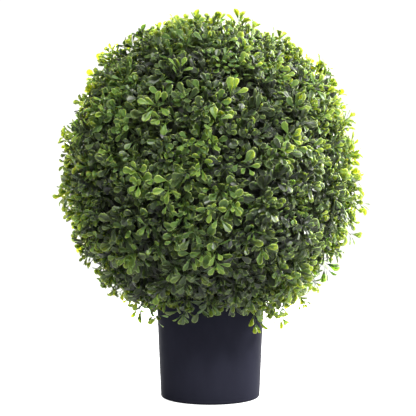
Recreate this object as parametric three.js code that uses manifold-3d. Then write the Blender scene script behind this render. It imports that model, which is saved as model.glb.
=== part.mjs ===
// An artificial box ball: moulded sprigs round a dense middle, carried by a short stem that
// is set in the filling of a black plastic pot. Millimetres, +Z up, and the origin is the
// middle of the pot's flat underside.
import * as THREE from "three";
import { mergeVertices } from "three/addons/utils/BufferGeometryUtils.js";
import Module from "manifold-3d";

const wasm = await Module();
wasm.setup();

// Driving dimensions of the whole: 24 inches to the topmost leaf.
const OVERALL_HEIGHT = 610;
const CLEARANCE = 0.3;

// The ball as clipped, a little taller than it is wide, and its dense middle, which is cut
// clear of the pot's mouth.
const BALL_CENTRE_Z = 359;
const REACH_TALL = OVERALL_HEIGHT - BALL_CENTRE_Z;
const REACH_WIDE = 248;
const CORE_RADIUS = 222;
const CORE_SIDES = 30;
const CORE_RINGS = 13;
const POT_GUARD = 3;

// The pot tapers down to its foot, and the lowest leaves hide its mouth.
const POT_HEIGHT = 165;
const POT_TOP_RADIUS = 85.6;
const POT_FOOT_RADIUS = 78.4;
const POT_WALL = 2.8;
const POT_FLOOR = 3.2;
const FOOT_ROUND = 3.5;
const MOUTH_ROUND = 1.2;
const POT_SIDES = 72;
const ARC_STEPS = 4;

// The filling stops short of the mouth, and the stem stands in it and in the core's socket.
const FILLING_TOP_Z = 156;
const FILLING_CHAMFER = 4;
const STEM_FOOT_Z = 52;
const STEM_TIP_Z = 232;
const STEM_FOOT_RADIUS = 11;
const STEM_TIP_RADIUS = 9.5;
const STEM_SIDES = 24;
const STEM_CHAMFER = 1.5;

// Sprigs stand on a golden spiral. Each is a three-sided twig with leaves at two heights, three
// over three, where a side twig with a pair of leaves takes the place of one.
const SPRIG_COUNT = 76;
const SPRIG_SEED = 41;
const GOLDEN_TURN = Math.PI * (3 - Math.sqrt(5));
const SPIRAL_JITTER = 0.16;
const SPRIG_LEAN = 0.2;
const TWIG_ROOT = { height: -8, radius: 3.2 };
const TWIG_KNOTS = [
  { height: 1, radius: 2.8 },
  { height: 4, radius: 2.5 },
  { height: 9.5, radius: 2.2 },
  { height: 12.5, radius: 1.9 },
];
const SIDE_KNOTS = [
  { height: 25, radius: 1.7 },
  { height: 28, radius: 1.4 },
];
const SIDE_TWIG_SLANT = 1.3;
const SIDE_PAIR_SPREAD = 0.5;
const TURN_JITTER = 0.12;
const LOW_TIPS = [0.935, 0.97];
const SIDE_TIPS = [0.95, 0.985];
const HIGH_TIPS = [0.965, 0.997];
const LEAF_SPACING = 22;

// A leaf is spoon-shaped, widest past its middle, with a blunt tip and raised sides.
const LEAF_LENGTH = [44, 56];
const LEAF_WIDTH_SHARE = 0.6;
const LEAF_BLUNT_SHARE = 0.26;
const LEAF_WIDEST_AT = 0.64;
const LEAF_THICKNESS = 1.8;
const LEAF_CUP = 2.6;
const LEAF_ROLL = 0.35;

// Repeatable numbers from 0 to 1, the same ones on every run.
function seeded(seed) {
  let state = seed >>> 0;
  return () => {
    state = (state + 0x6d2b79f5) >>> 0;
    let mixed = Math.imul(state ^ (state >>> 15), state | 1);
    mixed ^= mixed + Math.imul(mixed ^ (mixed >>> 7), mixed | 61);
    return ((mixed ^ (mixed >>> 14)) >>> 0) / 4294967296;
  };
}

function between(range, share) {
  return range[0] + (range[1] - range[0]) * share;
}

function joined(solids) {
  let whole = solids[0];
  for (const solid of solids.slice(1)) whole = whole.add(solid);
  return whole;
}

// A closed mesh as a solid that can be joined to others.
function solidOf(geometry) {
  const bare = geometry.clone();
  bare.deleteAttribute("normal");
  bare.deleteAttribute("uv");
  const merged = mergeVertices(bare, 1e-4);
  return new wasm.Manifold(
    new wasm.Mesh({
      numProp: 3,
      vertProperties: new Float32Array(merged.attributes.position.array),
      triVerts: new Uint32Array(merged.index.array),
    }),
  );
}

// A solid turned back into a geometry.
function geometryOf(solid) {
  const mesh = solid.getMesh();
  const positions = new Float32Array(mesh.numVert * 3);
  for (let i = 0; i < mesh.numVert; i++) {
    const start = i * mesh.numProp;
    positions.set(mesh.vertProperties.subarray(start, start + 3), i * 3);
  }
  const geometry = new THREE.BufferGeometry();
  geometry.setAttribute("position", new THREE.BufferAttribute(positions, 3));
  geometry.setIndex(new THREE.BufferAttribute(new Uint32Array(mesh.triVerts), 1));
  geometry.computeVertexNormals();
  return geometry;
}

// Points of an arc in the profile plane, from one angle to another, both ends included.
function arc(centreX, centreY, radius, from, to, steps) {
  const points = [];
  for (let i = 0; i <= steps; i++) {
    const angle = from + ((to - from) * i) / steps;
    points.push(
      new THREE.Vector2(centreX + radius * Math.cos(angle), centreY + radius * Math.sin(angle)),
    );
  }
  return points;
}

// A profile of radius and height, turned about the vertical axis.
function turned(profile, sides) {
  return new THREE.LatheGeometry(profile, sides).rotateX(Math.PI / 2);
}

function potRadiusAt(z) {
  return POT_FOOT_RADIUS + ((POT_TOP_RADIUS - POT_FOOT_RADIUS) * z) / POT_HEIGHT;
}

// The pot: flat underside, rounded foot, tapering wall, rounded mouth, and down inside.
function potGeometry() {
  const foot = arc(
    potRadiusAt(FOOT_ROUND) - FOOT_ROUND, FOOT_ROUND, FOOT_ROUND, -Math.PI / 2, 0, ARC_STEPS,
  );
  const mouth = arc(
    POT_TOP_RADIUS - MOUTH_ROUND, POT_HEIGHT - MOUTH_ROUND, MOUTH_ROUND, 0, Math.PI / 2, ARC_STEPS,
  );
  return turned(
    [
      new THREE.Vector2(0, 0),
      ...foot,
      ...mouth,
      new THREE.Vector2(POT_TOP_RADIUS - POT_WALL, POT_HEIGHT),
      new THREE.Vector2(potRadiusAt(POT_FLOOR) - POT_WALL, POT_FLOOR),
      new THREE.Vector2(0, POT_FLOOR),
    ],
    POT_SIDES,
  );
}

// The filling that weights the pot, with the socket that the stem is set in.
function fillingGeometry() {
  const floor = POT_FLOOR + CLEARANCE;
  const socketRadius = STEM_FOOT_RADIUS + CLEARANCE;
  const socketFloor = STEM_FOOT_Z - CLEARANCE;
  const shoulder = FILLING_TOP_Z - FILLING_CHAMFER;
  const insideAt = (z) => potRadiusAt(z) - POT_WALL - CLEARANCE;
  return turned(
    [
      new THREE.Vector2(0, floor),
      new THREE.Vector2(insideAt(floor), floor),
      new THREE.Vector2(insideAt(shoulder), shoulder),
      new THREE.Vector2(insideAt(shoulder) - FILLING_CHAMFER, FILLING_TOP_Z),
      new THREE.Vector2(socketRadius, FILLING_TOP_Z),
      new THREE.Vector2(socketRadius, socketFloor),
      new THREE.Vector2(0, socketFloor),
    ],
    POT_SIDES,
  );
}

// The short stem, a little thinner at its tip.
function stemGeometry() {
  return turned(
    [
      new THREE.Vector2(0, STEM_FOOT_Z),
      new THREE.Vector2(STEM_FOOT_RADIUS, STEM_FOOT_Z),
      new THREE.Vector2(STEM_TIP_RADIUS, STEM_TIP_Z - STEM_CHAMFER),
      new THREE.Vector2(STEM_TIP_RADIUS - STEM_CHAMFER, STEM_TIP_Z),
      new THREE.Vector2(0, STEM_TIP_Z),
    ],
    STEM_SIDES,
  );
}

// The ball's dense middle: round outside, flat over the pot's mouth, hollow for the stem.
function coreSolid() {
  const socketRadius = STEM_FOOT_RADIUS + CLEARANCE;
  const socketTop = STEM_TIP_Z + CLEARANCE;
  const underside = POT_HEIGHT + POT_GUARD;
  const skirtRadius = POT_TOP_RADIUS + POT_GUARD;
  const skirtAngle = Math.PI - Math.asin(skirtRadius / CORE_RADIUS);
  const profile = [
    new THREE.Vector2(0, socketTop),
    new THREE.Vector2(socketRadius, socketTop),
    new THREE.Vector2(socketRadius, underside),
    new THREE.Vector2(skirtRadius, underside),
  ];
  for (let i = 0; i < CORE_RINGS; i++) {
    const angle = skirtAngle * (1 - i / CORE_RINGS);
    const x = CORE_RADIUS * Math.sin(angle);
    profile.push(new THREE.Vector2(x, BALL_CENTRE_Z + CORE_RADIUS * Math.cos(angle)));
  }
  profile.push(new THREE.Vector2(0, BALL_CENTRE_Z + CORE_RADIUS));
  return solidOf(turned(profile, CORE_SIDES));
}

const ballCentre = new THREE.Vector3(0, 0, BALL_CENTRE_Z);

// The point some way along a direction.
function along(start, direction, distance) {
  return start.clone().addScaledVector(direction, distance);
}

// How far a point stands out from the ball's centre, as a share of the clipped reach there.
function reachShare(point) {
  const flat = Math.hypot(point.x, point.y) / REACH_WIDE;
  return Math.hypot(flat, (point.z - BALL_CENTRE_Z) / REACH_TALL);
}

// The foliage keeps inside its reach, and off the pot and its mouth.
function inItsSpace(point) {
  const abovePot = point.z > POT_HEIGHT + POT_GUARD;
  const besidePot = Math.hypot(point.x, point.y) > POT_TOP_RADIUS + POT_GUARD;
  return reachShare(point) <= 1 && (abovePot || besidePot);
}

// Two directions square to one, from which turns about it are counted.
function sideways(direction) {
  const upright = new THREE.Vector3(0, 0, 1);
  const level = new THREE.Vector3(1, 0, 0);
  const helper = Math.abs(direction.z) < 0.9 ? upright : level;
  const first = new THREE.Vector3().crossVectors(helper, direction).normalize();
  return [first, new THREE.Vector3().crossVectors(direction, first)];
}

// A direction slanted away from another, at a turn about it.
function slanted(direction, slant, turn) {
  const [first, second] = sideways(direction);
  return direction
    .clone()
    .multiplyScalar(Math.cos(slant))
    .addScaledVector(first, Math.sin(slant) * Math.cos(turn))
    .addScaledVector(second, Math.sin(slant) * Math.sin(turn))
    .normalize();
}

// The part of a vector that is square to a direction, one long.
function squareTo(direction, vector) {
  return along(vector, direction, -vector.dot(direction)).normalize();
}

function middleOf(corners) {
  const sum = corners.reduce((total, corner) => total.add(corner), new THREE.Vector3());
  return sum.divideScalar(corners.length);
}

// Three corners round a twig's root, the first at a turn.
function rootRing(centre, direction, radius, turn) {
  return [0, 1, 2].map((k) => {
    const toCorner = slanted(direction, Math.PI / 2, turn + (k * 2 * Math.PI) / 3);
    return along(centre, toCorner, radius);
  });
}

// Three corners round a twig, each set over a side of the ring below.
function ringAbove(below, centre, direction, radius) {
  const middle = middleOf(below);
  return below.map((corner, k) => {
    const side = middleOf([corner, below[(k + 1) % 3]]).sub(middle);
    return along(centre, squareTo(direction, side), radius);
  });
}

// The six faces between two rings: three on the lower ring, then three on the upper one.
function facesBetween(lower, upper) {
  const onLower = lower.map((corner, k) => [corner, lower[(k + 1) % 3], upper[k]]);
  const onUpper = lower.map((corner, k) => [
    lower[(k + 1) % 3], upper[(k + 1) % 3], upper[k],
  ]);
  return [...onLower, ...onUpper];
}

// The slant at which a leaf of a length ends at a share of the reach.
function slantToReach(start, outward, length, share) {
  const from = start.distanceTo(ballCentre);
  const reach = share / reachShare(along(ballCentre, outward, 1));
  const cosine = (reach ** 2 - from ** 2 - length ** 2) / (2 * from * length);
  return Math.acos(THREE.MathUtils.clamp(cosine, -0.2, 1));
}

// The corners of a leaf that points along its heading and faces outward, rolled a little.
function leafCorners(start, heading, outward, roll, length) {
  const side = new THREE.Vector3().crossVectors(outward, heading).normalize();
  side.applyAxisAngle(heading, roll);
  const face = new THREE.Vector3().crossVectors(heading, side);
  const half = (length * LEAF_WIDTH_SHARE) / 2;
  const blunt = half * LEAF_BLUNT_SHARE;
  const place = (forward, sidewards, up) =>
    along(along(along(start, heading, forward), side, sidewards), face, up);
  return {
    side,
    rim: [
      place(length * LEAF_WIDEST_AT, -half, LEAF_CUP),
      place(length, -blunt, -LEAF_CUP / 2),
      place(length, blunt, -LEAF_CUP / 2),
      place(length * LEAF_WIDEST_AT, half, LEAF_CUP),
    ],
    upper: place(length / 2, 0, LEAF_THICKNESS / 2),
    under: place(length / 2, 0, -LEAF_THICKNESS / 2),
  };
}

// The faces from a closed loop of points to a point in its middle.
function fan(loop, middle) {
  return loop.map((point, i) => [point, loop[(i + 1) % loop.length], middle]);
}

// The corners of a face from one of them round to another.
function cornersFrom(face, first, last) {
  const corners = [face[first]];
  for (let k = first; k !== last; k = (k + 1) % 3) corners.push(face[(k + 1) % 3]);
  return corners;
}

// A leaf's faces, which take the place of the face of a twig that it grows from.
function leafFaces(face, leaf) {
  const sidewards = face.map((corner) => corner.dot(leaf.side));
  const left = sidewards.indexOf(Math.max(...sidewards));
  const right = sidewards.indexOf(Math.min(...sidewards));
  return [
    ...fan([...cornersFrom(face, left, right), ...leaf.rim], leaf.upper),
    ...fan([...cornersFrom(face, right, left), ...leaf.rim.toReversed()], leaf.under),
  ];
}

// A leaf of a seeded size grown from a face of a twig. The bare face stays where the leaf
// would leave the foliage's space or crowd another leaf.
function leafOrFace(face, outward, toward, tips, growth) {
  const start = middleOf(face);
  const length = between(LEAF_LENGTH, growth.random());
  const slant = slantToReach(start, outward, length, between(tips, growth.random()));
  const roll = between([-LEAF_ROLL, LEAF_ROLL], growth.random());
  const turn = between([-TURN_JITTER, TURN_JITTER], growth.random());
  const level = squareTo(outward, toward).applyAxisAngle(outward, turn);
  const heading = outward.clone().multiplyScalar(Math.cos(slant));
  heading.addScaledVector(level, Math.sin(slant));
  const leaf = leafCorners(start, heading, outward, roll, length);
  const halfway = leaf.rim.map((corner) => start.clone().lerp(corner, 0.5));
  const inside = [...leaf.rim, ...halfway, leaf.upper].every(inItsSpace);
  const crowded = growth.leaves.some((other) => other.distanceTo(leaf.upper) < LEAF_SPACING);
  if (!inside || crowded) return [face];
  growth.leaves.push(leaf.upper);
  return leafFaces(face, leaf);
}

// The direction of a sprig's seat from the ball's centre, on the golden spiral.
function seatDirection(index, random) {
  const height = 1 - (2 * index) / (SPRIG_COUNT - 1);
  const flat = Math.sqrt(1 - height * height);
  const turn = index * GOLDEN_TURN + (random() - 0.5) * SPIRAL_JITTER;
  return new THREE.Vector3(flat * Math.cos(turn), flat * Math.sin(turn), height);
}

// A side twig grown from a face of its sprig, with a pair of leaves at its end.
function sideTwigFaces(face, outward, away, growth) {
  const fork = middleOf(face);
  const direction = outward.clone().multiplyScalar(Math.cos(SIDE_TWIG_SLANT));
  direction.addScaledVector(squareTo(outward, away), Math.sin(SIDE_TWIG_SLANT));
  const end = along(fork, direction, SIDE_KNOTS[1].height);
  if (!inItsSpace(end)) return [face];
  const rings = [face];
  for (const knot of SIDE_KNOTS) {
    const centre = along(fork, direction, knot.height);
    rings.push(ringAbove(rings.at(-1), centre, direction, knot.radius));
  }
  const head = facesBetween(rings[1], rings[2]);
  const left = new THREE.Vector3().crossVectors(outward, direction).normalize();
  const leftward = head.map((side) => middleOf(side).sub(fork).dot(left));
  const ends = [Math.max(...leftward), Math.min(...leftward)].map((x) => leftward.indexOf(x));
  const leaves = ends.flatMap((index, k) => {
    const spread = k === 0 ? SIDE_PAIR_SPREAD : -SIDE_PAIR_SPREAD;
    const toward = direction.clone().applyAxisAngle(outward, spread);
    return leafOrFace(head[index], outward, toward, SIDE_TIPS, growth);
  });
  const bare = head.filter((side, index) => !ends.includes(index));
  return [...facesBetween(rings[0], rings[1]), ...bare, ...leaves, rings[2]];
}

// One sprig: a twig rooted in the core, three leaves low on it with a side twig in place of
// one, and three leaves at its end between those.
function sprigFaces(index, growth) {
  const outward = seatDirection(index, growth.random);
  const seat = along(ballCentre, outward, CORE_RADIUS);
  const lean = SPRIG_LEAN * growth.random();
  const direction = slanted(outward, lean, growth.random() * 2 * Math.PI);
  const turn = growth.random() * 2 * Math.PI;
  if (![seat, along(seat, direction, TWIG_KNOTS.at(-1).height)].every(inItsSpace)) return [];

  const root = along(seat, direction, TWIG_ROOT.height);
  const rings = [rootRing(root, direction, TWIG_ROOT.radius, turn)];
  for (const knot of TWIG_KNOTS) {
    const centre = along(seat, direction, knot.height);
    rings.push(ringAbove(rings.at(-1), centre, direction, knot.radius));
  }
  const away = (face) => squareTo(direction, middleOf(face).sub(seat));
  const low = facesBetween(rings[1], rings[2]);
  const high = facesBetween(rings[3], rings[4]);
  return [
    rings[0].toReversed(),
    ...facesBetween(rings[0], rings[1]),
    ...sideTwigFaces(low[0], outward, away(low[0]), growth),
    ...leafOrFace(low[1], outward, away(low[1]), LOW_TIPS, growth),
    ...leafOrFace(low[2], outward, away(low[2]), LOW_TIPS, growth),
    ...low.slice(3),
    ...facesBetween(rings[2], rings[3]),
    ...high.slice(0, 3),
    ...high.slice(3).flatMap((face) => leafOrFace(face, outward, away(face), HIGH_TIPS, growth)),
    rings[4],
  ];
}

// The leaf that stands upright on the crown and gives the ball its full height.
function topLeafFaces() {
  const upright = new THREE.Vector3(0, 0, 1);
  const start = along(ballCentre, upright, CORE_RADIUS + TWIG_ROOT.height);
  const root = rootRing(start, upright, TWIG_ROOT.radius, 0);
  const facing = new THREE.Vector3(0, -1, 0);
  const leaf = leafCorners(start, upright, facing, 0, OVERALL_HEIGHT - start.z);
  return [root.toReversed(), ...leafFaces(root, leaf)];
}

function solidOfFaces(faces) {
  return solidOf(new THREE.BufferGeometry().setFromPoints(faces.flat()));
}

// The whole clipped ball as one solid, with any hollow sealed by crossing leaves filled.
function foliageGeometry() {
  const growth = { random: seeded(SPRIG_SEED), leaves: [] };
  const solids = [coreSolid(), solidOfFaces(topLeafFaces())];
  for (let i = 0; i < SPRIG_COUNT; i++) {
    const faces = sprigFaces(i, growth);
    if (faces.length) solids.push(solidOfFaces(faces));
  }
  const parts = joined(solids).decompose();
  parts.sort((a, b) => b.volume() - a.volume());
  return geometryOf(parts[0]);
}

const finishes = {
  pot: { color: 0x24262e, roughness: 0.45, metalness: 0 },
  filling: { color: 0x4a453f, roughness: 0.95, metalness: 0 },
  stem: { color: 0x6e5438, roughness: 0.8, metalness: 0 },
  foliage: { color: 0x4f7a2c, roughness: 0.5, metalness: 0 },
};

function piece(name, geometry, finish) {
  const mesh = new THREE.Mesh(geometry, new THREE.MeshStandardMaterial(finishes[finish]));
  mesh.name = name;
  return mesh;
}

const ball = new THREE.Group();
ball.add(piece("pot", potGeometry(), "pot"));
ball.add(piece("pot_filling", fillingGeometry(), "filling"));
ball.add(piece("stem", stemGeometry(), "stem"));
ball.add(piece("foliage_ball", foliageGeometry(), "foliage"));

export default ball;
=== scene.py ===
import math

import bmesh
import bpy
import numpy as np
from mathutils import Matrix, Vector, noise


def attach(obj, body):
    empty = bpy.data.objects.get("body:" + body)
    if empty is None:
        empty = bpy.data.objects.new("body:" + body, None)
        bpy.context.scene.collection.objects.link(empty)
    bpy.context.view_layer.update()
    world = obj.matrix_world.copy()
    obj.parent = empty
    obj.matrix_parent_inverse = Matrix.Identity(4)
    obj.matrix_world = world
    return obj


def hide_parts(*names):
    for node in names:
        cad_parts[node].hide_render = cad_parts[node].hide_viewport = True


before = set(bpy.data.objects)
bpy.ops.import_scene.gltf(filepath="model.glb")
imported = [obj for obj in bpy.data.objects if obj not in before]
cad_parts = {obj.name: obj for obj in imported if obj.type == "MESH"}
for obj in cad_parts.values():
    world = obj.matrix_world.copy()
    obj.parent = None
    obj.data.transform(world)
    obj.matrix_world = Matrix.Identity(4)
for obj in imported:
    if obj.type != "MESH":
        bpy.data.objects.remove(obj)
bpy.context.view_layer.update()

# The pot: one injection moulding of black plastic, slightly tapered so that it leaves its mould.
# Its underside is flat, its foot is rounded, and its plain mouth is hidden by the lowest leaves.
POT_HEIGHT = 0.165
POT_TOP_RADIUS = 0.0856
POT_FOOT_RADIUS = 0.0784
POT_WALL = 0.0028
POT_FLOOR = 0.0032
FOOT_ROUND = 0.0035
MOUTH_ROUND = 0.0012
POT_STEPS = 144
MERGE_DISTANCE = 1e-6
RING_TOLERANCE = 1e-5


def pot_radius_at(height):
    return POT_FOOT_RADIUS + (POT_TOP_RADIUS - POT_FOOT_RADIUS) * height / POT_HEIGHT


def turned(profile, steps):
    """A shape from a profile of (radius, height) points, spun about the upright axis."""
    shape = bmesh.new()
    points = [shape.verts.new((radius, 0, height)) for radius, height in profile]
    lines = [shape.edges.new(pair) for pair in zip(points, points[1:])]
    bmesh.ops.spin(
        shape, geom=points + lines, cent=(0, 0, 0), axis=(0, 0, 1), dvec=(0, 0, 0),
        angle=2 * math.pi, steps=steps, use_merge=True, use_duplicate=False,
    )
    bmesh.ops.remove_doubles(shape, verts=shape.verts[:], dist=MERGE_DISTANCE)
    bmesh.ops.recalc_face_normals(shape, faces=shape.faces[:])
    return shape


def round_rings(shape, rings, offset, segments):
    """Rounds the level rings of edges that stand at each (radius, height)."""

    def on_ring(edge, radius, height):
        return all(
            abs(corner.co.z - height) < RING_TOLERANCE
            and abs(math.hypot(corner.co.x, corner.co.y) - radius) < RING_TOLERANCE
            for corner in edge.verts
        )

    edges = [e for e in shape.edges if any(on_ring(e, *ring) for ring in rings)]
    bmesh.ops.bevel(
        shape, geom=edges, offset=offset, segments=segments, profile=0.5,
        affect="EDGES", material=-1,
    )


def object_of(name, shape, smooth_angle=35):
    """A smooth-shaded object at the origin, with edges sharper than an angle left crisp."""
    mesh = bpy.data.meshes.new(name)
    shape.to_mesh(mesh)
    shape.free()
    mesh.shade_smooth()
    mesh.set_sharp_from_angle(angle=math.radians(smooth_angle))
    piece = bpy.data.objects.new(name, mesh)
    bpy.context.scene.collection.objects.link(piece)
    return piece


def new_material(name, **values):
    """A material whose shader has these values, with its node tree and shader."""
    material = bpy.data.materials.new(name)
    material.use_nodes = True
    tree = material.node_tree
    shader = tree.nodes["Principled BSDF"]
    for socket, value in values.items():
        shader.inputs[socket.replace("_", " ")].default_value = value
    return material, tree, shader


PATCH_EDGES = (0.35, 0.65)
GRAIN_HEIGHT = 0.0004


def mottling_group():
    """Uneven colour, gloss and surface, as a moulded or cast piece or bark has."""
    group = bpy.data.node_groups.new("mottling", "ShaderNodeTree")

    def socket(name, way, kind, value=None):
        made = group.interface.new_socket(name, in_out=way, socket_type=kind)
        if value is not None:
            made.default_value = value

    socket("Base", "INPUT", "NodeSocketColor", (0.5, 0.5, 0.5, 1))
    socket("Marks", "INPUT", "NodeSocketColor", (0.5, 0.5, 0.5, 1))
    socket("Patch Scale", "INPUT", "NodeSocketFloat", 20.0)
    socket("Grain Scale", "INPUT", "NodeSocketFloat", 900.0)
    socket("Stretch", "INPUT", "NodeSocketVector", (1, 1, 1))
    socket("Rough Low", "INPUT", "NodeSocketFloat", 0.4)
    socket("Rough High", "INPUT", "NodeSocketFloat", 0.6)
    socket("Relief", "INPUT", "NodeSocketFloat", 0.2)
    socket("Color", "OUTPUT", "NodeSocketColor")
    socket("Roughness", "OUTPUT", "NodeSocketFloat")
    socket("Normal", "OUTPUT", "NodeSocketVector")

    add, link = group.nodes.new, group.links.new
    given, result = add("NodeGroupInput"), add("NodeGroupOutput")
    place, stretch = add("ShaderNodeTexCoord"), add("ShaderNodeVectorMath")
    stretch.operation = "MULTIPLY"
    link(place.outputs["Object"], stretch.inputs[0])
    link(given.outputs["Stretch"], stretch.inputs[1])

    patches, grain = add("ShaderNodeTexNoise"), add("ShaderNodeTexNoise")
    patches.inputs["Detail"].default_value = 5.0
    patches.inputs["Roughness"].default_value = 0.6
    grain.inputs["Detail"].default_value = 3.0
    for texture, scale in ((patches, "Patch Scale"), (grain, "Grain Scale")):
        link(stretch.outputs[0], texture.inputs["Vector"])
        link(given.outputs[scale], texture.inputs["Scale"])

    blend, gloss = add("ShaderNodeMix"), add("ShaderNodeMapRange")
    blend.data_type = "RGBA"
    spread = add("ShaderNodeMapRange")
    spread.inputs["From Min"].default_value, spread.inputs["From Max"].default_value = PATCH_EDGES
    link(patches.outputs[0], spread.inputs["Value"])
    link(spread.outputs[0], blend.inputs["Factor"])
    link(given.outputs["Base"], blend.inputs["A"])
    link(given.outputs["Marks"], blend.inputs["B"])
    link(spread.outputs[0], gloss.inputs["Value"])
    link(given.outputs["Rough Low"], gloss.inputs["To Min"])
    link(given.outputs["Rough High"], gloss.inputs["To Max"])

    bump = add("ShaderNodeBump")
    bump.inputs["Distance"].default_value = GRAIN_HEIGHT
    link(given.outputs["Relief"], bump.inputs["Strength"])
    link(grain.outputs[0], bump.inputs["Height"])
    link(blend.outputs["Result"], result.inputs["Color"])
    link(gloss.outputs[0], result.inputs["Roughness"])
    link(bump.outputs[0], result.inputs["Normal"])
    return group


MOTTLING = mottling_group()


def mottled(name, inputs, **values):
    """A material whose colour, roughness and relief come from the mottling group."""
    material, tree, shader = new_material(name, **values)
    surface = tree.nodes.new("ShaderNodeGroup")
    surface.node_tree = MOTTLING
    for socket, value in inputs.items():
        surface.inputs[socket].default_value = value
    tree.links.new(surface.outputs["Color"], shader.inputs["Base Color"])
    tree.links.new(surface.outputs["Roughness"], shader.inputs["Roughness"])
    tree.links.new(surface.outputs["Normal"], shader.inputs["Normal"])
    return material


pot_shape = turned(
    [
        (0, 0),
        (POT_FOOT_RADIUS, 0),
        (POT_TOP_RADIUS, POT_HEIGHT),
        (POT_TOP_RADIUS - POT_WALL, POT_HEIGHT),
        (pot_radius_at(POT_FLOOR) - POT_WALL, POT_FLOOR),
        (0, POT_FLOOR),
    ],
    POT_STEPS,
)
round_rings(pot_shape, [(POT_FOOT_RADIUS, 0)], offset=FOOT_ROUND, segments=6)
round_rings(
    pot_shape,
    [(POT_TOP_RADIUS, POT_HEIGHT), (POT_TOP_RADIUS - POT_WALL, POT_HEIGHT)],
    offset=MOUTH_ROUND, segments=4,
)
pot = object_of("pot_shell", pot_shape)
pot.data.materials.append(
    mottled(
        "satin_black_plastic",
        {
            "Base": (0.0222, 0.0228, 0.0350, 1),
            "Marks": (0.0252, 0.0258, 0.0394, 1),
            "Patch Scale": 34.0,
            "Grain Scale": 1500.0,
            "Stretch": (1.0, 1.0, 0.45),
            "Rough Low": 0.30,
            "Rough High": 0.38,
            "Relief": 0.07,
        },
        Specular_IOR_Level=0.007,
        Specular_Tint=(0.80, 0.86, 1.0, 1),
    )
)
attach(pot, "root")
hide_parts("pot")

# The filling: a rough cast of cement poured into the pot to weight it, with the stem set in it.
# Leaves hide it from outside.
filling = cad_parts["pot_filling"]
filling.data.materials.clear()
filling.data.materials.append(
    mottled(
        "rough_cement",
        {
            "Base": (0.075, 0.066, 0.055, 1),
            "Marks": (0.135, 0.122, 0.104, 1),
            "Patch Scale": 60.0,
            "Grain Scale": 420.0,
            "Rough Low": 0.85,
            "Rough High": 0.97,
            "Relief": 0.9,
        },
    )
)

# The stem: a short length of round wood with its bark on, set in the filling at one end and
# pushed into the ball's socket at the other.
STEM_FOOT_Z = 0.052
STEM_TIP_Z = 0.232
STEM_FOOT_RADIUS = 0.011
STEM_TIP_RADIUS = 0.0095
STEM_SIDES = 72
STEM_CUTS = 44
BARK_DEPTH = 0.0012
BARK_RIDGES = 9
RIDGE_SLANT = 40
RIDGE_WANDER = 2.4
WANDER_SCALE = Vector((60, 60, 22))
CHIP_SCALE = 420
CHIP_SHARE = 0.2

stem_height = STEM_TIP_Z - STEM_FOOT_Z
stem_shape = bmesh.new()
bmesh.ops.create_cone(
    stem_shape, cap_ends=True, segments=STEM_SIDES, radius1=STEM_FOOT_RADIUS,
    radius2=STEM_TIP_RADIUS, depth=stem_height,
    matrix=Matrix.Translation((0, 0, STEM_FOOT_Z + stem_height / 2)),
)
upright_edges = [
    e for e in stem_shape.edges if abs(e.verts[0].co.z - e.verts[1].co.z) > stem_height / 2
]
bmesh.ops.subdivide_edges(stem_shape, edges=upright_edges, cuts=STEM_CUTS, use_grid_fill=True)
for corner in stem_shape.verts:
    turn = math.atan2(corner.co.y, corner.co.x)
    wander = noise.noise(corner.co * WANDER_SCALE)
    slant = corner.co.z * RIDGE_SLANT + wander * RIDGE_WANDER
    ridge = abs(math.sin(turn * BARK_RIDGES / 2 + slant))
    chips = abs(noise.noise(corner.co * CHIP_SCALE))
    inset = BARK_DEPTH * ((1 - ridge) ** 2 * (1 - CHIP_SHARE) + chips * CHIP_SHARE)
    shrink = 1 - inset / math.hypot(corner.co.x, corner.co.y)
    corner.co.x *= shrink
    corner.co.y *= shrink
bmesh.ops.recalc_face_normals(stem_shape, faces=stem_shape.faces[:])
stem = object_of("stem_with_bark", stem_shape, smooth_angle=60)
stem.data.materials.append(
    mottled(
        "brown_bark",
        {
            "Base": (0.095, 0.058, 0.032, 1),
            "Marks": (0.185, 0.130, 0.080, 1),
            "Patch Scale": 90.0,
            "Grain Scale": 700.0,
            "Stretch": (1.0, 1.0, 0.25),
            "Rough Low": 0.72,
            "Rough High": 0.92,
            "Relief": 0.7,
        },
    )
)
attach(stem, "root")
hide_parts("stem")

# The ball's frame: a hollow ball moulded in dark green plastic, ribbed in triangles, with a flat
# underside over the pot's mouth and a socket for the stem. The sprigs are plugged into it.
BALL_CENTRE = Vector((0, 0, 0.359))
FRAME_RADIUS = 0.197
POT_GUARD = 0.003
RIB_HALF_WIDTH = 0.0016
RIB_HEIGHT = 0.0022
FRAME_SUBDIVISIONS = 4
SOCKET_SIDES = 24
SOCKET_CLEARANCE = 0.0003
UNDERSIDE_Z = POT_HEIGHT + POT_GUARD
SOCKET_DEPTH = STEM_TIP_Z + SOCKET_CLEARANCE - UNDERSIDE_Z

frame_shape = bmesh.new()
bmesh.ops.create_icosphere(
    frame_shape, subdivisions=FRAME_SUBDIVISIONS, radius=FRAME_RADIUS,
    matrix=Matrix.Translation(BALL_CENTRE),
)
bmesh.ops.bisect_plane(
    frame_shape, geom=frame_shape.verts[:] + frame_shape.edges[:] + frame_shape.faces[:],
    dist=MERGE_DISTANCE, plane_co=(0, 0, UNDERSIDE_Z), plane_no=(0, 0, 1), clear_inner=True,
)
cut_edges = [e for e in frame_shape.edges if e.is_boundary]
cut_corners = {corner for e in cut_edges for corner in e.verts}
panels = [f for f in frame_shape.faces if cut_corners.isdisjoint(f.verts)]
bmesh.ops.inset_individual(
    frame_shape, faces=panels, thickness=RIB_HALF_WIDTH, depth=-RIB_HEIGHT
)
bmesh.ops.create_circle(
    frame_shape, cap_ends=False, radius=STEM_FOOT_RADIUS + SOCKET_CLEARANCE,
    segments=SOCKET_SIDES, matrix=Matrix.Translation((0, 0, UNDERSIDE_Z)),
)
mouth_edges = [e for e in frame_shape.edges if e.is_wire]
bmesh.ops.bridge_loops(frame_shape, edges=cut_edges + mouth_edges)
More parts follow.
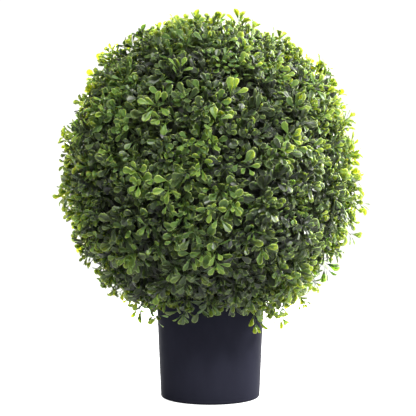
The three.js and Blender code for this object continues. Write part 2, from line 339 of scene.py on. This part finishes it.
raised = bmesh.ops.extrude_edge_only(frame_shape, edges=mouth_edges)["geom"]
raised_corners = [item for item in raised if isinstance(item, bmesh.types.BMVert)]
bmesh.ops.translate(frame_shape, verts=raised_corners, vec=(0, 0, SOCKET_DEPTH))
raised_edges = [item for item in raised if isinstance(item, bmesh.types.BMEdge)]
bmesh.ops.edgeloop_fill(frame_shape, edges=raised_edges)
bmesh.ops.recalc_face_normals(frame_shape, faces=frame_shape.faces[:])
ball_frame = object_of("ball_frame", frame_shape, smooth_angle=25)
ball_frame.data.materials.append(
    mottled(
        "dark_green_plastic",
        {
            "Base": (0.0150, 0.0170, 0.0120, 1),
            "Marks": (0.0230, 0.0255, 0.0175, 1),
            "Patch Scale": 40.0,
            "Grain Scale": 900.0,
            "Rough Low": 0.55,
            "Rough High": 0.70,
            "Relief": 0.2,
        },
        Specular_IOR_Level=0.3,
    )
)
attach(ball_frame, "root")
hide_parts("foliage_ball")

# The sprigs: thin stems moulded with their leaves in soft plastic, plugged into the frame by
# seats on a golden spiral. Pairs of leaves sit across each other on a middle twig and its side
# twigs. The whole is clipped to a ball, so what would leave it or touch the pot isn't there.
OVERALL_HEIGHT = 0.610
REACH = 0.2535
# The clipped outline, as (rise in degrees, factor on the reach), and how far loose tips pass it.
CLIPPED_SHAPE = (
    (-90, 0.99), (-75, 1.060), (-60, 1.040), (-45, 1.034), (-30, 1.020), (-15, 0.975),
    (0, 0.940), (15, 0.938), (30, 0.970), (45, 1.0), (60, 1.010), (90, 1.020),
)
LOOSE_TIPS = 1.055
CHECKED_SHARES = (0.4, 0.7, 1.0)

# A pair of limits is a range that a number is drawn from. Angles are in radians.
SPRIG_COUNT = 490
SPRIG_SEED = 41
GOLDEN_TURN = math.pi * (3 - math.sqrt(5))
SPIRAL_JITTER = 0.16
SPRIG_LEAN = 0.3
SPRIG_BEND = 0.25
SPRIG_SIZES = (0.70, 1.20)
# Sprigs with seats at these heights, on a ball of radius 1, hang out over the pot's mouth.
MOUTH_SEATS = (-0.97, -0.84)
MOUTH_LEAN = (0.35, 0.80)

# Twigs end at a share of the clipped reach. Side twigs fork off at a share of the middle one.
TWIG_ROOT = 0.006
TWIG_TIPS = (0.804, 0.918)
TWIG_RADIUS = 0.0013
SIDE_TWIGS = 4
SIDE_RADIUS = 0.0010
SIDE_LENGTHS = (0.022, 0.058)
SIDE_FORKS = (0.18, 0.48)
SIDE_TURNS = (-0.5, 0.5)
SIDE_SLANTS = (0.6, 1.25)
SIDE_RISES = (0.30, 0.85)
SIDE_TIP_SPREAD = (-0.024, 0.024)
STRAY_SHARE = 0.10
STRAY_EXTRA = 0.085

# The pairs of leaves, from the twig's root to its tip. Widths are shares of the length.
PAIR_PLACES = (0.34, 0.58, 0.78, 0.92, 1.0)
PAIR_LENGTHS = (0.0230, 0.0256, 0.0252, 0.0224, 0.0172)
PAIR_SLANTS = (1.20, 1.12, 1.00, 0.80, 0.50)
PAIR_TURNS = (-0.3, 0.3)
SLANT_SPREAD = (0.85, 1.15)
LENGTH_SPREAD = (0.82, 1.15)
LEAF_WIDTHS = (0.38, 0.51)
LEAF_CUPS = (0.12, 0.52)
LEAF_BENDS = (-0.75, 0.25)
LEAF_TWISTS = (-0.35, 0.35)
LEAF_ROLLS = (-0.60, 0.60)
OUTWARD_SHARE = 0.45
LEAF_MIDDLE = 0.55
LEAF_SPACING = 0.0052
LEAF_GAP_SHARE = 0.16

# Tones rank the leaves for the colours to be dealt out by: growth from old to fresh, random tone,
# and painted light and shade as marked below.
# Painted light: leaves seated higher on the ball are ranked lighter, as if lit from above.
TOP_PAINTED_LIGHT = 0.08
PATCH_TONE = 0.08
PATCH_SCALE = 14
SPRIG_TONES = (-0.26, 0.26)
SIDE_TONES = (-0.22, 0.22)
# Partly real, partly painted shade: leaves nearer a twig's root are older growth and are ranked
# darker, as if in shade deep inside.
PAIR_AGE_AND_SHADE_TONES = (-0.10, -0.04, 0.02, 0.05, 0.08)
# Partly newer growth, partly painted glow: twigs that end further out, and strays, are ranked
# lighter and yellower, as if lit through from behind.
OUTER_GROWTH_AND_GLOW_TONE = 2.5
STRAY_GROWTH_AND_GLOW_TONE = 0.20

NEARLY_UPRIGHT = 0.9


def seeded(seed):
    """Repeatable numbers from 0 to 1, the same ones on every run."""
    state = seed
    word = 0xFFFFFFFF

    def draw():
        nonlocal state
        state = (state + 0x6D2B79F5) & word
        mixed = (state ^ (state >> 15)) * (state | 1) & word
        mixed ^= (mixed + ((mixed ^ (mixed >> 7)) * (mixed | 61) & word)) & word
        return (mixed ^ (mixed >> 14)) / (word + 1)

    return draw


draw = seeded(SPRIG_SEED)


def between(limits, share):
    return limits[0] + (limits[1] - limits[0]) * share


def seat_direction(index):
    """The direction of a sprig's seat from the ball's centre, on the golden spiral."""
    height = 1 - 2 * index / (SPRIG_COUNT - 1)
    flat = math.sqrt(max(0.0, 1 - height * height))
    turn = index * GOLDEN_TURN + (draw() - 0.5) * SPIRAL_JITTER
    return Vector((flat * math.cos(turn), flat * math.sin(turn), height))


def slanted(direction, slant, turn):
    """A direction slanted away from another, at a turn about it."""
    helper = Vector((0, 0, 1)) if abs(direction.z) < NEARLY_UPRIGHT else Vector((1, 0, 0))
    first = helper.cross(direction).normalized()
    second = direction.cross(first)
    level = first * math.cos(turn) + second * math.sin(turn)
    return (direction * math.cos(slant) + level * math.sin(slant)).normalized()


def clipped_reach(rises):
    """The clipped reach from the ball's centre, by how steeply a direction rises, from -1 to 1."""
    lifts, factors = zip(*CLIPPED_SHAPE)
    return REACH * np.interp(np.degrees(np.arcsin(np.clip(rises, -1, 1))), lifts, factors)


def in_its_space(points):
    """The foliage keeps inside its reach, and off the pot and its mouth."""
    points = np.asarray(points)
    offset = points - np.array(BALL_CENTRE)
    distance = np.linalg.norm(offset, axis=-1)
    within = distance <= clipped_reach(offset[..., 2] / distance) * LOOSE_TIPS
    below_top = points[..., 2] <= OVERALL_HEIGHT
    above_pot = points[..., 2] > POT_HEIGHT + POT_GUARD
    beside_pot = np.hypot(points[..., 0], points[..., 1]) > POT_TOP_RADIUS + POT_GUARD
    return within & below_top & (above_pot | beside_pot)


def length_to_reach(start, direction, share):
    """How long a twig is that ends at a share of the reach."""
    offset = start - BALL_CENTRE
    target = share * float(clipped_reach(direction.z))
    across = offset.dot(direction)
    return -across + math.sqrt(max(0.0, across * across + target * target - offset.length_squared))


class Twig:
    """A twig that sets off in one direction and bends towards another."""

    def __init__(self, start, direction, end_direction, length, radius):
        self.start, self.direction, self.end_direction = start, direction, end_direction
        self.length, self.radius = length, radius

    def point(self, share):
        bend = self.end_direction * (share * share / 2)
        return self.start + (self.direction * (share - share * share / 2) + bend) * self.length

    def heading(self, share):
        return self.direction.lerp(self.end_direction, share).normalized()


twigs = []
leaves = []
taken = {}


def crowded(middle):
    """Whether a leaf of an earlier twig has its middle close to this one."""
    cell = [int(math.floor(value / LEAF_SPACING)) for value in middle]
    for i in (-1, 0, 1):
        for j in (-1, 0, 1):
            for k in (-1, 0, 1):
                for other in taken.get((cell[0] + i, cell[1] + j, cell[2] + k), ()):
                    if (other - middle).length < LEAF_SPACING:
                        return True
    return False


def add_leaf(start, twig_heading, slant, turn, outward, length, tone):
    """A leaf that leaves its twig at a slant and a turn, with its face to the twig's tip."""
    heading = slanted(twig_heading, slant, turn)
    level = slanted(twig_heading, math.pi / 2, turn)
    face = twig_heading * math.sin(slant) - level * math.cos(slant)
    face = face.lerp(outward, OUTWARD_SHARE)
    face = (face - heading * face.dot(heading)).normalized()
    face = Matrix.Rotation(between(LEAF_ROLLS, draw()), 3, heading) @ face
    leaf = {
        "start": start,
        "heading": heading,
        "face": face,
        "length": length,
        "width": length * between(LEAF_WIDTHS, draw()),
        "cup": between(LEAF_CUPS, draw()),
        "bend": between(LEAF_BENDS, draw()),
        "twist": between(LEAF_TWISTS, draw()),
        "tone": tone,
    }
    middle = start + heading * (length * LEAF_MIDDLE)
    bare = draw() < LEAF_GAP_SHARE
    if bare or crowded(middle):
        return None
    leaves.append(leaf)
    return middle


def add_pairs(twig, turn, outward, size, tone):
    """The pairs of leaves along a twig, each pair set across the last."""
    middles = []
    for k, place in enumerate(PAIR_PLACES):
        point, heading = twig.point(place), twig.heading(place)
        pair_turn = turn + k * math.pi / 2 + between(PAIR_TURNS, draw())
        for side in (0, 1):
            slant = PAIR_SLANTS[k] * between(SLANT_SPREAD, draw())
            length = PAIR_LENGTHS[k] * size * between(LENGTH_SPREAD, draw())
            middle = add_leaf(
                point, heading, slant, pair_turn + side * math.pi, outward, length,
                tone + PAIR_AGE_AND_SHADE_TONES[k],
            )
            if middle is not None:
                middles.append(middle)
    for middle in middles:
        cell = tuple(int(math.floor(value / LEAF_SPACING)) for value in middle)
        taken.setdefault(cell, []).append(middle)


def add_sprig(index):
    """One sprig: a middle twig that leans a little, and side twigs round it."""
    outward = seat_direction(index)
    seat = BALL_CENTRE + outward * (FRAME_RADIUS - TWIG_ROOT)
    direction = slanted(outward, SPRIG_LEAN * draw(), draw() * 2 * math.pi)
    turn = draw() * 2 * math.pi
    tip_share = between(TWIG_TIPS, draw())
    patch = PATCH_TONE * noise.noise(seat * PATCH_SCALE)
    # The top of the ball is ranked lighter as painted light; the patch and the draw are random
    # tone.
    tone = TOP_PAINTED_LIGHT * outward.z + patch + between(SPRIG_TONES, draw())
    size = between(SPRIG_SIZES, draw())

    if MOUTH_SEATS[0] < outward.z < MOUTH_SEATS[1]:
        dip = between(MOUTH_LEAN, draw())
        level = Vector((outward.x, outward.y, 0)).normalized()
        direction = level * math.cos(dip) + Vector((0, 0, -math.sin(dip)))
    end_direction = slanted(direction, SPRIG_BEND * draw(), draw() * 2 * math.pi)
    length = length_to_reach(seat, direction, tip_share)
    middle_twig = Twig(seat, direction, end_direction, length, TWIG_RADIUS)
    if not in_its_space([middle_twig.point(share) for share in CHECKED_SHARES]).all():
        return
    grow(middle_twig, turn, outward, size, tone)
    for k in range(SIDE_TWIGS):
        fork = between(SIDE_FORKS, (k + draw()) / SIDE_TWIGS)
        side_turn = turn + k * 2 * math.pi / SIDE_TWIGS + between(SIDE_TURNS, draw())
        start = middle_twig.point(fork)
        leaving = slanted(middle_twig.heading(fork), between(SIDE_SLANTS, draw()), side_turn)
        arriving = leaving.lerp(outward, between(SIDE_RISES, draw())).normalized()
        share = tip_share + between(SIDE_TIP_SPREAD, draw())
        shade = tone + between(SIDE_TONES, draw())
        # A stray is newer growth and also gets a painted glow, as if lit through from behind.
        if draw() < STRAY_SHARE:
            share += STRAY_EXTRA
            shade += STRAY_GROWTH_AND_GLOW_TONE
        average = (leaving + arriving).normalized()
        length = length_to_reach(start, average, share)
        length = min(max(length, SIDE_LENGTHS[0]), SIDE_LENGTHS[1])
        side = Twig(start, leaving, arriving, length, SIDE_RADIUS)
        if in_its_space([side.point(share) for share in CHECKED_SHARES]).all():
            grow(side, draw() * 2 * math.pi, outward, size, shade)


def grow(twig, turn, outward, size, tone):
    """Adds a twig with its leaves, ranked as newer growth with a painted glow, as if lit from
    behind, the further out it ends.
    """
    twigs.append(twig)
    tip = twig.point(1.0) - BALL_CENTRE
    tip_share = tip.length / float(clipped_reach(tip.z / tip.length))
    growth_and_glow = OUTER_GROWTH_AND_GLOW_TONE * (tip_share - sum(TWIG_TIPS) / 2)
    add_pairs(twig, turn, outward, size, tone + growth_and_glow)


for sprig_index in range(SPRIG_COUNT):
    add_sprig(sprig_index)

# The leaves: each is moulded as a spoon-shaped blade on a narrow stalk, folded along its middle,
# with a painted highlight: its rim and the top of its tip are a paler colour. Corners run from
# root
# to tip: the root, a row of four on the stalk, three rows of six (left, left half, middle, right
# half, right, under), and the tip.
STALK_ROW = (0.28, 0.11, 0.00060)
BLADE_ROWS = ((0.52, 0.56, 0.00026), (0.77, 1.0, 0.00022), (0.94, 0.66, 0.00018))
FLAT_SHARE = 0.76
TIP_LIFT = 0.15
LEAST_BEND = 0.02

leaf_faces = [
    (0, 1, 2), (0, 2, 3), (0, 4, 1), (0, 3, 4),
    (2, 1, 5, 6), (2, 6, 7), (2, 7, 8), (2, 8, 9, 3), (4, 10, 5, 1), (4, 3, 9, 10),
]
# The rim bands and the top of the tip take the second material, a painted highlight.
rim_highlight_faces = []
for first in (5, 11):
    left, left_half, middle, right_half, right, under = range(first, first + 6)
    rim_highlight_faces += [len(leaf_faces), len(leaf_faces) + 3]
    leaf_faces += [
        (left_half, left, left + 6, left_half + 6),
        (middle, left_half, left_half + 6, middle + 6),
        (middle, middle + 6, right_half + 6, right_half),
        (right_half, right_half + 6, right + 6, right),
        (under, under + 6, left + 6, left),
        (under, right, right + 6, under + 6),
    ]
rim_highlight_faces += range(len(leaf_faces), len(leaf_faces) + 4)
leaf_faces += [(18, 17, 23), (19, 18, 23), (19, 23, 20), (20, 23, 21), (22, 23, 17), (22, 21, 23)]
fold_line = (0, 2, 7, 13, 19, 23)


def column(name):
    return np.array([leaf[name] for leaf in leaves], dtype=float)


def leaf_points():
    """The corners of every leaf, as (leaves, corners, 3)."""
    start, heading, face = column("start"), column("heading"), column("face")
    side = np.cross(face, heading)
    length, bend, twist, cup = (column(name) for name in ("length", "bend", "twist", "cup"))
    bend = np.where(np.abs(bend) < LEAST_BEND, LEAST_BEND, bend)
    half = column("width") / 2

    def place(t, sidewards, raised):
        angle = bend * t
        forward = length * np.sin(angle) / bend
        up = length * (1 - np.cos(angle)) / bend
        normal = face * np.cos(angle)[:, None] - heading * np.sin(angle)[:, None]
        roll = twist * t
        across = side * np.cos(roll)[:, None] + normal * np.sin(roll)[:, None]
        lifted = normal * np.cos(roll)[:, None] - side * np.sin(roll)[:, None]
        return (
            start + heading * forward[:, None] + face * up[:, None]
            + across * sidewards[:, None] + lifted * raised[:, None]
        )

    nothing = np.zeros(len(leaves))
    corners = [place(0.0, nothing, nothing)]
    for t, width, thickness in (STALK_ROW, *BLADE_ROWS):
        out = half * width
        edge = out * cup
        upper = nothing + thickness / 2
        on_blade = t > STALK_ROW[0]
        corners.append(place(t, -out, edge))
        if on_blade:
            corners.append(place(t, -out * FLAT_SHARE, edge * FLAT_SHARE + upper))
        corners.append(place(t, nothing, upper))
        if on_blade:
            corners.append(place(t, out * FLAT_SHARE, edge * FLAT_SHARE + upper))
        corners.append(place(t, out, edge))
        corners.append(place(t, nothing, -upper))
    corners.append(place(1.0, nothing, half * cup * TIP_LIFT))
    return np.stack(corners, axis=1)


def joined_copies(name, points, faces, crisp_line=(), second_faces=()):
    """One mesh of many copies of a shape, from the corners of each and the faces of one.

    An edge is crisp where both its ends are on the crisp line, and the second faces take the
    piece's second material.
    """
    copies, corners = points.shape[:2]
    offsets = np.arange(copies)[:, None] * corners
    loops = (offsets + np.concatenate(faces)[None, :]).ravel()
    sizes = np.tile([len(face) for face in faces], copies)
    mesh = bpy.data.meshes.new(name)
    mesh.vertices.add(copies * corners)
    mesh.vertices.foreach_set("co", points.astype(np.float32).ravel())
    mesh.loops.add(len(loops))
    mesh.loops.foreach_set("vertex_index", loops.astype(np.int32))
    mesh.polygons.add(len(sizes))
    starts = np.concatenate(([0], np.cumsum(sizes)[:-1]))
    mesh.polygons.foreach_set("loop_start", starts.astype(np.int32))
    finish = np.isin(np.arange(len(faces)), second_faces).astype(np.int32)
    mesh.polygons.foreach_set("material_index", np.tile(finish, copies))
    mesh.update(calc_edges=True)
    mesh.shade_smooth()
    if crisp_line:
        ends = np.zeros(len(mesh.edges) * 2, dtype=np.int32)
        mesh.edges.foreach_get("vertices", ends)
        on_line = np.isin(ends.reshape(-1, 2) % corners, crisp_line).all(axis=1)
        crisp = mesh.attributes.new("sharp_edge", "BOOLEAN", "EDGE")
        crisp.data.foreach_set("value", on_line)
    piece = bpy.data.objects.new(name, mesh)
    bpy.context.scene.collection.objects.link(piece)
    return piece


# Leaf colours, from the darkest to the lightest, for the oldest to the freshest growth and for the
# painted shade and light that the tones carry: how far red light goes through such a leaf, its
# gloss, and the share of the leaves that is dealt it, spray by spray.
LEAF_TONES = [
    ("leaves_deep", (0.022, 0.027, 0.020), 0.78, 0.50, 0.170),
    ("leaves_bottle", (0.030, 0.040, 0.024), 0.79, 0.48, 0.170),
    ("leaves_olive", (0.042, 0.060, 0.025), 0.85, 0.43, 0.160),
    ("leaves_box", (0.051, 0.080, 0.032), 0.88, 0.38, 0.150),
    ("leaves_mid", (0.067, 0.108, 0.036), 0.94, 0.33, 0.130),
    ("leaves_fresh", (0.082, 0.150, 0.042), 1.00, 0.28, 0.100),
    ("leaves_bright", (0.110, 0.203, 0.048), 1.06, 0.24, 0.075),
    ("leaves_lime", (0.153, 0.262, 0.053), 1.12, 0.20, 0.045),
]
# The rim material is a paler copy of each colour: a painted highlight where light would catch the
# leaf's edge.
RIM_HIGHLIGHT_LIFT = 1.28
RIM_HIGHLIGHT_PALE = (0.022, 0.028, 0.015)
RIM_GLOW = 0.80


def leaf_material(name, colour, red_glow, gloss):
    """A thin plastic leaf that light goes through, green further than blue."""
    material, _, _ = new_material(
        name,
        Base_Color=(*colour, 1),
        Roughness=0.38,
        Specular_IOR_Level=gloss,
        Subsurface_Weight=0.85,
        Subsurface_Radius=(red_glow, 1.0, 0.26),
        Subsurface_Scale=0.00110,
    )
    return material


points = leaf_points()
kept = in_its_space(points).all(axis=1)
points = points[kept]
tones = column("tone")[kept]
order = np.argsort(tones, kind="stable")
first = 0
dealt = 0.0
for name, colour, red_glow, gloss, share in LEAF_TONES:
    dealt += share
    last = int(round(min(dealt, 1.0) * len(order)))
    piece = joined_copies(name, points[order[first:last]], leaf_faces, fold_line, rim_highlight_faces)
    piece.data.materials.append(leaf_material(name, colour, red_glow, gloss))
    # The paler rim colour is a painted highlight.
    rim_highlight_colour = [value * RIM_HIGHLIGHT_LIFT + paler for value, paler in zip(colour, RIM_HIGHLIGHT_PALE)]
    piece.data.materials.append(
        leaf_material(name + "_rim_highlight", rim_highlight_colour, red_glow * RIM_GLOW, gloss)
    )
    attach(piece, "root")
    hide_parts("foliage_ball")
    first = last

# The twigs: the sprigs' own stems, moulded in the same green plastic as the leaves. They are
# three-sided, taper towards their tips, and are sunk into the frame or the twig they leave.
TWIG_SIDES = 3
TWIG_STATIONS = (0.0, *PAIR_PLACES)
TWIG_TAPER = (1.0, 0.90, 0.82, 0.74, 0.66, 0.58)


def twig_points():
    """The corners of every twig, ring by ring, as (twigs, corners, 3)."""
    rings = []
    for share, taper in zip(TWIG_STATIONS, TWIG_TAPER):
        centre = np.array([twig.point(share) for twig in twigs])
        heading = np.array([twig.heading(share) for twig in twigs])
        radius = np.array([twig.radius for twig in twigs])[:, None] * taper
        leans = np.abs(heading[:, 2:]) < NEARLY_UPRIGHT
        helper = np.where(leans, (0.0, 0.0, 1.0), (1.0, 0.0, 0.0))
        first = np.cross(helper, heading)
        first /= np.linalg.norm(first, axis=1)[:, None]
        second = np.cross(heading, first)
        for k in range(TWIG_SIDES):
            turn = 2 * math.pi * k / TWIG_SIDES
            rings.append(centre + (first * math.cos(turn) + second * math.sin(turn)) * radius)
    return np.stack(rings, axis=1)


def twig_faces():
    """The faces of one twig: its two ends, and a band from each ring to the next."""
    last = (len(TWIG_STATIONS) - 1) * TWIG_SIDES
    faces = [tuple(reversed(range(TWIG_SIDES))), tuple(range(last, last + TWIG_SIDES))]
    for ring in range(0, last, TWIG_SIDES):
        for k in range(TWIG_SIDES):
            a, b = ring + k, ring + (k + 1) % TWIG_SIDES
            faces.append((a, b, b + TWIG_SIDES, a + TWIG_SIDES))
    return faces


twig_piece = joined_copies("twigs_green", twig_points(), twig_faces())
twig_material, _, _ = new_material(
    "twigs_green", Base_Color=(0.070, 0.102, 0.034, 1), Roughness=0.5, Specular_IOR_Level=0.3
)
twig_piece.data.materials.append(twig_material)
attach(twig_piece, "root")
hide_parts("foliage_ball")

# The studio: a plain white floor under a white surround. A soft light stands high in front on
# the right and one beside it on the right, and two low ones behind light the outer leaves.
FLOOR_RADIUS = 1.25
SURROUND_STRENGTH = 0.275
BACKDROP_STRENGTH = 1.1
CAMERA_DISTANCE = 2.4
CAMERA_HEIGHT = 0.455
CAMERA_PITCH = 3.70
CAMERA_YAW = 0.087
CAMERA_LENS = 131.7

floor_shape = bmesh.new()
bmesh.ops.create_circle(floor_shape, cap_ends=True, radius=FLOOR_RADIUS, segments=96)
floor = object_of("floor", floor_shape)
floor_material, floor_tree, floor_shader = new_material(
    "white_floor", Base_Color=(0.52, 0.52, 0.52, 1), Roughness=0.9, Specular_IOR_Level=0.0,
    Emission_Color=(1, 1, 1, 1),
)
seen = floor_tree.nodes.new("ShaderNodeLightPath")
floor_tree.links.new(seen.outputs["Is Camera Ray"], floor_shader.inputs["Emission Strength"])
floor.data.materials.append(floor_material)


def soft_light(name, place, target, size, watts):
    """A round soft light that points at a target and isn't seen itself."""
    light = bpy.data.lights.new(name, "AREA")
    light.shape = "DISK"
    light.size = size
    light.energy = watts
    lamp = bpy.data.objects.new(name, light)
    lamp.location = place
    toward = Vector(target) - Vector(place)
    lamp.rotation_euler = toward.to_track_quat("-Z", "Y").to_euler()
    lamp.visible_camera = False
    bpy.context.scene.collection.objects.link(lamp)


soft_light("key_light", place=(0.8, -1.8, 2.25), target=(0, 0, 0.36), size=0.55, watts=84)
soft_light("right_light", place=(1.95, 0.8, 1.15), target=(0, 0, 0.38), size=0.7, watts=99)
soft_light("left_back_light", place=(-1.1, 2.6, 0.6), target=(0, 0, 0.36), size=1.0, watts=120)
soft_light("back_light", place=(0.4, 2.4, 0.74), target=(0, 0, 0.38), size=1.2, watts=310)

world = bpy.data.worlds.new("white_surround")
world.use_nodes = True
bpy.context.scene.world = world
surround = world.node_tree.nodes["Background"]
surround.inputs["Color"].default_value = (1, 1, 1, 1)
surround.inputs["Strength"].default_value = SURROUND_STRENGTH
backdrop = world.node_tree.nodes.new("ShaderNodeBackground")
backdrop.inputs["Color"].default_value = (1, 1, 1, 1)
backdrop.inputs["Strength"].default_value = BACKDROP_STRENGTH
rays = world.node_tree.nodes.new("ShaderNodeLightPath")
choice = world.node_tree.nodes.new("ShaderNodeMixShader")
output = world.node_tree.nodes["World Output"]
world.node_tree.links.new(rays.outputs["Is Camera Ray"], choice.inputs["Fac"])
world.node_tree.links.new(surround.outputs[0], choice.inputs[1])
world.node_tree.links.new(backdrop.outputs[0], choice.inputs[2])
world.node_tree.links.new(choice.outputs[0], output.inputs["Surface"])

camera_data = bpy.data.cameras.new("camera")
camera_data.sensor_width = 36.0
camera_data.lens = CAMERA_LENS
camera = bpy.data.objects.new("camera", camera_data)
camera.location = (0, -CAMERA_DISTANCE, CAMERA_HEIGHT)
camera.rotation_euler = (
    math.radians(90 - CAMERA_PITCH), 0, math.radians(CAMERA_YAW)
)
bpy.context.scene.collection.objects.link(camera)
bpy.context.scene.camera = camera
bpy.context.scene.view_settings.view_transform = "Standard"
